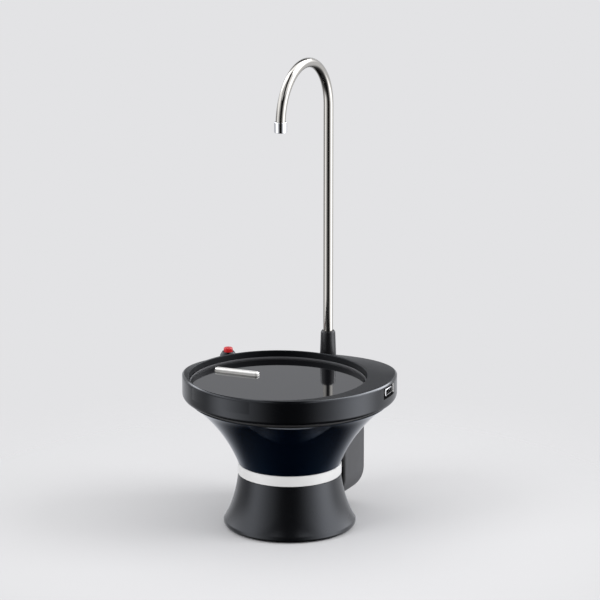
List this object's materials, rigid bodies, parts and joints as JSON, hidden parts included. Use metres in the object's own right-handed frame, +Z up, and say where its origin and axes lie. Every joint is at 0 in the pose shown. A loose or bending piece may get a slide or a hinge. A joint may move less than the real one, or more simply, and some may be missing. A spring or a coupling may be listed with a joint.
{
  "type": "bottled water pump",
  "caption": "Round tray head on a waisted funnel body that seats on a water bottle's neck, with a tall gooseneck spout, a press bar, a push button and a charging port.",
  "frame": {"origin": "centre of the skirt's lower rim, in the plane that the rim stands on", "axes": "+Z up along the body, -Y towards the front, +X to the viewer's right; the spout stands at the rear right and its nozzle hangs over the tray's centre"},
  "size_m": [0.172, 0.172, 0.377],
  "materials": {
    "head_gloss": "high gloss black moulding",
    "tray_gloss": "polished black plate",
    "gasket": "soft dark bead",
    "funnel_gloss": "high gloss black moulding with a cool tint",
    "band_white": "satin off-white",
    "skirt_satin": "satin black",
    "seal_grey": "soft grey silicone",
    "housing_matte": "fine matte dark grey",
    "screw_steel": "zinc-plated screw",
    "motor_steel": "drawn and plated",
    "inner_black": "plain moulded black",
    "pump_natural": "plain moulded off-white",
    "rotor_metal": "wound laminated core",
    "spout_steel": "polished bright",
    "nozzle_chrome": "bright plated",
    "collar_black": "satin black",
    "oring_black": "soft black",
    "diaphragm_black": "soft black",
    "hose_clear": "milky silicone",
    "cell_wrap": "blue heat-shrink film over a steel can",
    "board_green": "green laminate",
    "port_metal": "plated sheet",
    "button_red": "satin red",
    "bar_steel": "satin, along its length",
    "spring_steel": "bright wire",
    "lead_red": "soft insulation",
    "lead_black": "soft insulation"
  },
  "bodies": {
    "pump_body": {"battery_cell": "cell_wrap", "battery_holder": "inner_black", "battery_lead": "lead_red", "board_screw": "screw_steel", "bracket_screw_1": "screw_steel", "bracket_screw_2": "screw_steel", "button_bezel": "inner_black", "button_lead": "lead_black", "circuit_board": "board_green", "clamp_screw_1": "screw_steel", "clamp_screw_2": "screw_steel", "cup_switch": "inner_black", "cup_switch_lead": "lead_black", "dish_housing": "head_gloss", "dish_screw_1": "screw_steel", "dish_screw_2": "screw_steel", "dish_screw_3": "screw_steel", "funnel_body": "funnel_gloss", "housing_screw_1": "screw_steel", "housing_screw_2": "screw_steel", "housing_screw_3": "screw_steel", "intake_fitting": "pump_natural", "intake_hose": "hose_clear", "intake_nut": "inner_black", "motor_can": "motor_steel", "motor_clamp": "motor_steel", "motor_end_cap": "inner_black", "motor_lead": "lead_red", "neck_screw_1": "screw_steel", "neck_screw_2": "screw_steel", "neck_seal": "seal_grey", "neck_skirt": "skirt_satin", "outlet_hose": "hose_clear", "power_switch": "inner_black", "pump_diaphragm": "diaphragm_black", "pump_frame": "pump_natural", "pump_head": "pump_natural", "rear_housing": "housing_matte", "socket_screw_1": "screw_steel", "socket_screw_2": "screw_steel", "spout_socket": "pump_natural", "switch_bracket": "inner_black", "tray_gasket": "gasket", "tray_plate": "tray_gloss", "usb_socket": "port_metal", "valve_plate": "pump_natural", "waist_band": "band_white", "wobble_plate": "pump_natural"},
    "spout_plug": {"spout_collar": "collar_black", "spout_oring": "oring_black"},
    "spout": {"spout_tube": "spout_steel", "spout_nozzle": "nozzle_chrome"},
    "power_button": {"power_button": "button_red", "button_spring": "spring_steel"},
    "press_bar": {"press_bar": "bar_steel", "bar_yoke": "inner_black", "bar_spring_1": "spring_steel", "bar_spring_2": "spring_steel"},
    "rotor": {"motor_armature": "rotor_metal", "pump_crank": "pump_natural"}
  },
  "joints": [
    {"name": "spout_pull", "type": "slide", "parent": "pump_body", "child": "spout_plug", "axis": [0, 0, 1], "range_m": [0, 0.018]},
    {"name": "spout_swivel", "type": "hinge", "parent": "spout_plug", "child": "spout", "pos_m": [0.0312, 0.0641, 0.1439], "axis": [0, 0, 1], "continuous": true},
    {"name": "power_press", "type": "slide", "parent": "pump_body", "child": "power_button", "axis": [0, 0, -1], "range_m": [0, 0.0012], "stiffness_N_per_m": 800, "springref_m": -0.0006, "deforming": ["button_spring"]},
    {"name": "bar_press", "type": "slide", "parent": "pump_body", "child": "press_bar", "axis": [0, 0, -1], "range_m": [0, 0.0015], "stiffness_N_per_m": 300, "springref_m": -0.002, "deforming": ["bar_spring_1", "bar_spring_2"]},
    {"name": "motor_spin", "type": "hinge", "parent": "pump_body", "child": "rotor", "pos_m": [0.02753, 0.05656, 0.035], "axis": [0, 0, 1], "continuous": true}
  ]
}
